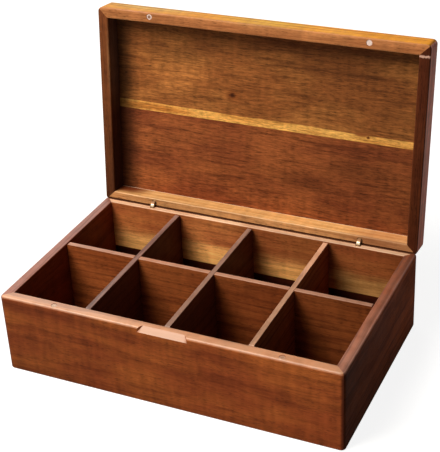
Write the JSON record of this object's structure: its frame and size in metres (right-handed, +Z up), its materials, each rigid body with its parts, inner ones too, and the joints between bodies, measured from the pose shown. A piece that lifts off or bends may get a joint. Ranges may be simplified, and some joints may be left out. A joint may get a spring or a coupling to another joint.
{
  "type": "tea bag organizer box",
  "caption": "Wooden tea box with mitred walls, a crossed divider grid for wrapped tea bags and a shallow magnetic lid on hidden barrel hinges.",
  "frame": {"origin": "centre of the underside, on the face that the box rests on", "axes": "+X to the right along the box's length, +Y to the back where the hinges are, +Z up"},
  "size_m": [0.29, 0.2136, 0.2437],
  "materials": {
    "wall_wood": "satin oiled reddish brown hardwood with darker streaks",
    "bottom_wood": "satin oiled dark red-brown hardwood",
    "divider_wood": "satin oiled hardwood, paler on its sawn edges",
    "lid_rail_wood": "satin oiled hardwood with orange sapwood streaks",
    "lid_board_wood": "satin oiled hardwood with a pale sapwood edge at the glue line",
    "magnet_plate": "nickel plated, satin",
    "hinge_brass": "turned brass, lightly tarnished",
    "hinge_pin_steel": "drawn steel wire"
  },
  "bodies": {
    "box": {"front_wall": "wall_wood", "rear_wall_upper": "wall_wood", "rear_wall_lower": "wall_wood", "left_wall": "wall_wood", "right_wall": "wall_wood", "bottom_panel": "bottom_wood", "long_divider": "divider_wood", "cross_divider_left": "divider_wood", "cross_divider_middle": "divider_wood", "cross_divider_right": "divider_wood", "box_magnet_left": "magnet_plate", "box_magnet_right": "magnet_plate", "left_hinge_lower_barrel": "hinge_brass", "right_hinge_lower_barrel": "hinge_brass", "left_hinge_lower_pin": "hinge_pin_steel", "right_hinge_lower_pin": "hinge_pin_steel"},
    "lid": {"lid_front_rail": "lid_rail_wood", "lid_rear_rail": "lid_rail_wood", "lid_left_rail": "lid_rail_wood", "lid_right_rail": "lid_rail_wood", "lid_front_board": "lid_board_wood", "lid_rear_board": "lid_board_wood", "lid_magnet_left": "magnet_plate", "lid_magnet_right": "magnet_plate", "left_hinge_upper_barrel": "hinge_brass", "right_hinge_upper_barrel": "hinge_brass", "left_hinge_upper_pin": "hinge_pin_steel", "right_hinge_upper_pin": "hinge_pin_steel"},
    "left_link": {"left_hinge_link": "hinge_brass"},
    "right_link": {"right_hinge_link": "hinge_brass"}
  },
  "joints": [
    {"name": "lid_hinge", "type": "hinge", "parent": "box", "child": "lid", "pos_m": [0, 0.0862, 0.07005], "axis": [1, 0, 0], "range_deg": [0, 96]},
    {"name": "left_link_turn", "type": "hinge", "parent": "box", "child": "left_link", "pos_m": [0, 0.0862, 0.07005], "axis": [1, 0, 0], "range_deg": [0, 48]},
    {"name": "right_link_turn", "type": "hinge", "parent": "box", "child": "right_link", "pos_m": [0, 0.0862, 0.07005], "axis": [1, 0, 0], "range_deg": [0, 48]}
  ],
  "couplings": [
    {"joint": "left_link_turn", "follows": "lid_hinge", "ratio": 0.5},
    {"joint": "right_link_turn", "follows": "lid_hinge", "ratio": 0.5}
  ]
}
